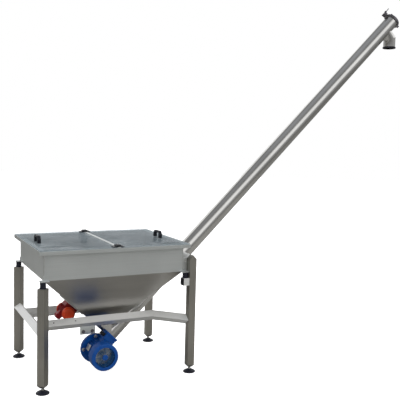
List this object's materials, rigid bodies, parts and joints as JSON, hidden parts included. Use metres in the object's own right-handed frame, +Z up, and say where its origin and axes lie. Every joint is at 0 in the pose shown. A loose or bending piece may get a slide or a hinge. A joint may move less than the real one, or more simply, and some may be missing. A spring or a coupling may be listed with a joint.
{
  "type": "grain auger",
  "caption": "Inclined screw conveyor with a lidded hopper on rubber buffers in a tube frame, a geared motor at its foot and a discharge spout at its head.",
  "frame": {"origin": "on the floor below the middle of the whole machine", "axes": "+X toward the discharge spout, +Y to the back, +Z up"},
  "size_m": [3.136, 0.839, 2.7599],
  "materials": {
    "frame_steel": "dull brushed stainless tube",
    "hopper_steel": "brushed stainless sheet",
    "polished_steel": "bright polished tube",
    "machined_steel": "machined",
    "clamp_steel": "dark cast",
    "lid_sheet": "bright sheet",
    "black_rubber": "matt",
    "black_plastic": "satin",
    "motor_blue": "gloss paint",
    "vibrator_red": "gloss paint",
    "cap_orange": "gloss paint",
    "bronze": "machined"
  },
  "bodies": {
    "machine": {"auger_tube": "polished_steel", "buffer_arm_back": "frame_steel", "buffer_arm_front": "frame_steel", "buffer_back_left": "black_rubber", "buffer_back_right": "black_rubber", "buffer_front_left": "black_rubber", "buffer_front_right": "black_rubber", "centre_bar": "hopper_steel", "clamp_half_lower": "clamp_steel", "clamp_half_upper": "clamp_steel", "fan_cover": "motor_blue", "gearbox": "motor_blue", "hinge_block_back": "black_plastic", "hinge_block_front": "black_plastic", "hopper_box": "hopper_steel", "hopper_bracket_back_left": "hopper_steel", "hopper_bracket_back_right": "hopper_steel", "hopper_bracket_front_left": "hopper_steel", "hopper_bracket_front_right": "hopper_steel", "hopper_cone": "hopper_steel", "left_rail": "frame_steel", "leg_back_left": "frame_steel", "leg_back_right": "frame_steel", "leg_front_left": "frame_steel", "leg_front_right": "frame_steel", "motor_body": "motor_blue", "rim_frame": "hopper_steel", "side_rail_back": "frame_steel", "side_rail_front": "frame_steel", "spout": "polished_steel", "spout_lip": "black_rubber", "terminal_box": "motor_blue", "top_cross_tube": "frame_steel", "tube_saddle": "hopper_steel", "vibrator_body": "vibrator_red", "vibrator_cap_back": "cap_orange", "vibrator_cap_front": "cap_orange", "vibrator_mount": "hopper_steel"},
    "lid_left": {"lid_left": "lid_sheet", "lid_handle_left": "black_plastic"},
    "lid_right": {"lid_right": "lid_sheet", "lid_handle_right": "black_plastic"},
    "auger": {"auger_shaft": "machined_steel", "auger_flight": "machined_steel", "worm_wheel": "bronze"},
    "motor_rotor": {"motor_rotor": "machined_steel", "worm": "machined_steel"},
    "vibrator_rotor": {"vibrator_rotor": "machined_steel"},
    "end_cover": {"end_cover": "clamp_steel", "top_bush": "bronze"},
    "clamp_bolt": {"clamp_bolt": "machined_steel"},
    "wing_nut": {"clamp_wing_nut": "clamp_steel"},
    "foot_front_left": {"foot_stem_front_left": "polished_steel", "foot_pad_front_left": "black_rubber"},
    "foot_front_right": {"foot_stem_front_right": "polished_steel", "foot_pad_front_right": "black_rubber"},
    "foot_back_left": {"foot_stem_back_left": "polished_steel", "foot_pad_back_left": "black_rubber"},
    "foot_back_right": {"foot_stem_back_right": "polished_steel", "foot_pad_back_right": "black_rubber"}
  },
  "joints": [
    {"name": "lid_left_hinge", "type": "hinge", "parent": "machine", "child": "lid_left", "pos_m": [-1.05796, 0, 0.9065], "axis": [0, 1, 0], "range_deg": [0, 85]},
    {"name": "lid_right_hinge", "type": "hinge", "parent": "machine", "child": "lid_right", "pos_m": [-1.03396, 0, 0.9065], "axis": [0, -1, 0], "range_deg": [0, 85]},
    {"name": "auger_spin", "type": "hinge", "parent": "machine", "child": "auger", "pos_m": [-1.06696, 0, 0.118], "axis": [0.712, 0, 0.7022], "continuous": true},
    {"name": "motor_spin", "type": "hinge", "parent": "machine", "child": "motor_rotor", "pos_m": [-1.10207, 0, 0.1536], "axis": [0, 1, 0], "continuous": true},
    {"name": "vibrator_spin", "type": "hinge", "parent": "machine", "child": "vibrator_rotor", "pos_m": [-1.28382, 0, 0.40601], "axis": [0, 1, 0], "continuous": true},
    {"name": "end_cover_slide", "type": "slide", "parent": "machine", "child": "end_cover", "axis": [0.712, 0, 0.7022], "range_m": [0, 0.1]},
    {"name": "clamp_bolt_swing", "type": "hinge", "parent": "machine", "child": "clamp_bolt", "pos_m": [1.45852, 0.04667, 2.714], "axis": [-0.712, 0, -0.7022], "range_deg": [0, 90]},
    {"name": "wing_nut_turn", "type": "hinge", "parent": "clamp_bolt", "child": "wing_nut", "pos_m": [1.44343, 0.00262, 2.7293], "axis": [-0.3078, -0.8988, 0.3121], "continuous": true},
    {"name": "foot_front_left_screw", "type": "slide", "parent": "machine", "child": "foot_front_left", "axis": [0, 0, -1], "range_m": [0, 0.02]},
    {"name": "foot_front_right_screw", "type": "slide", "parent": "machine", "child": "foot_front_right", "axis": [0, 0, -1], "range_m": [0, 0.02]},
    {"name": "foot_back_left_screw", "type": "slide", "parent": "machine", "child": "foot_back_left", "axis": [0, 0, -1], "range_m": [0, 0.02]},
    {"name": "foot_back_right_screw", "type": "slide", "parent": "machine", "child": "foot_back_right", "axis": [0, 0, -1], "range_m": [0, 0.02]}
  ],
  "couplings": [
    {"joint": "motor_spin", "follows": "auger_spin", "ratio": 10}
  ]
}
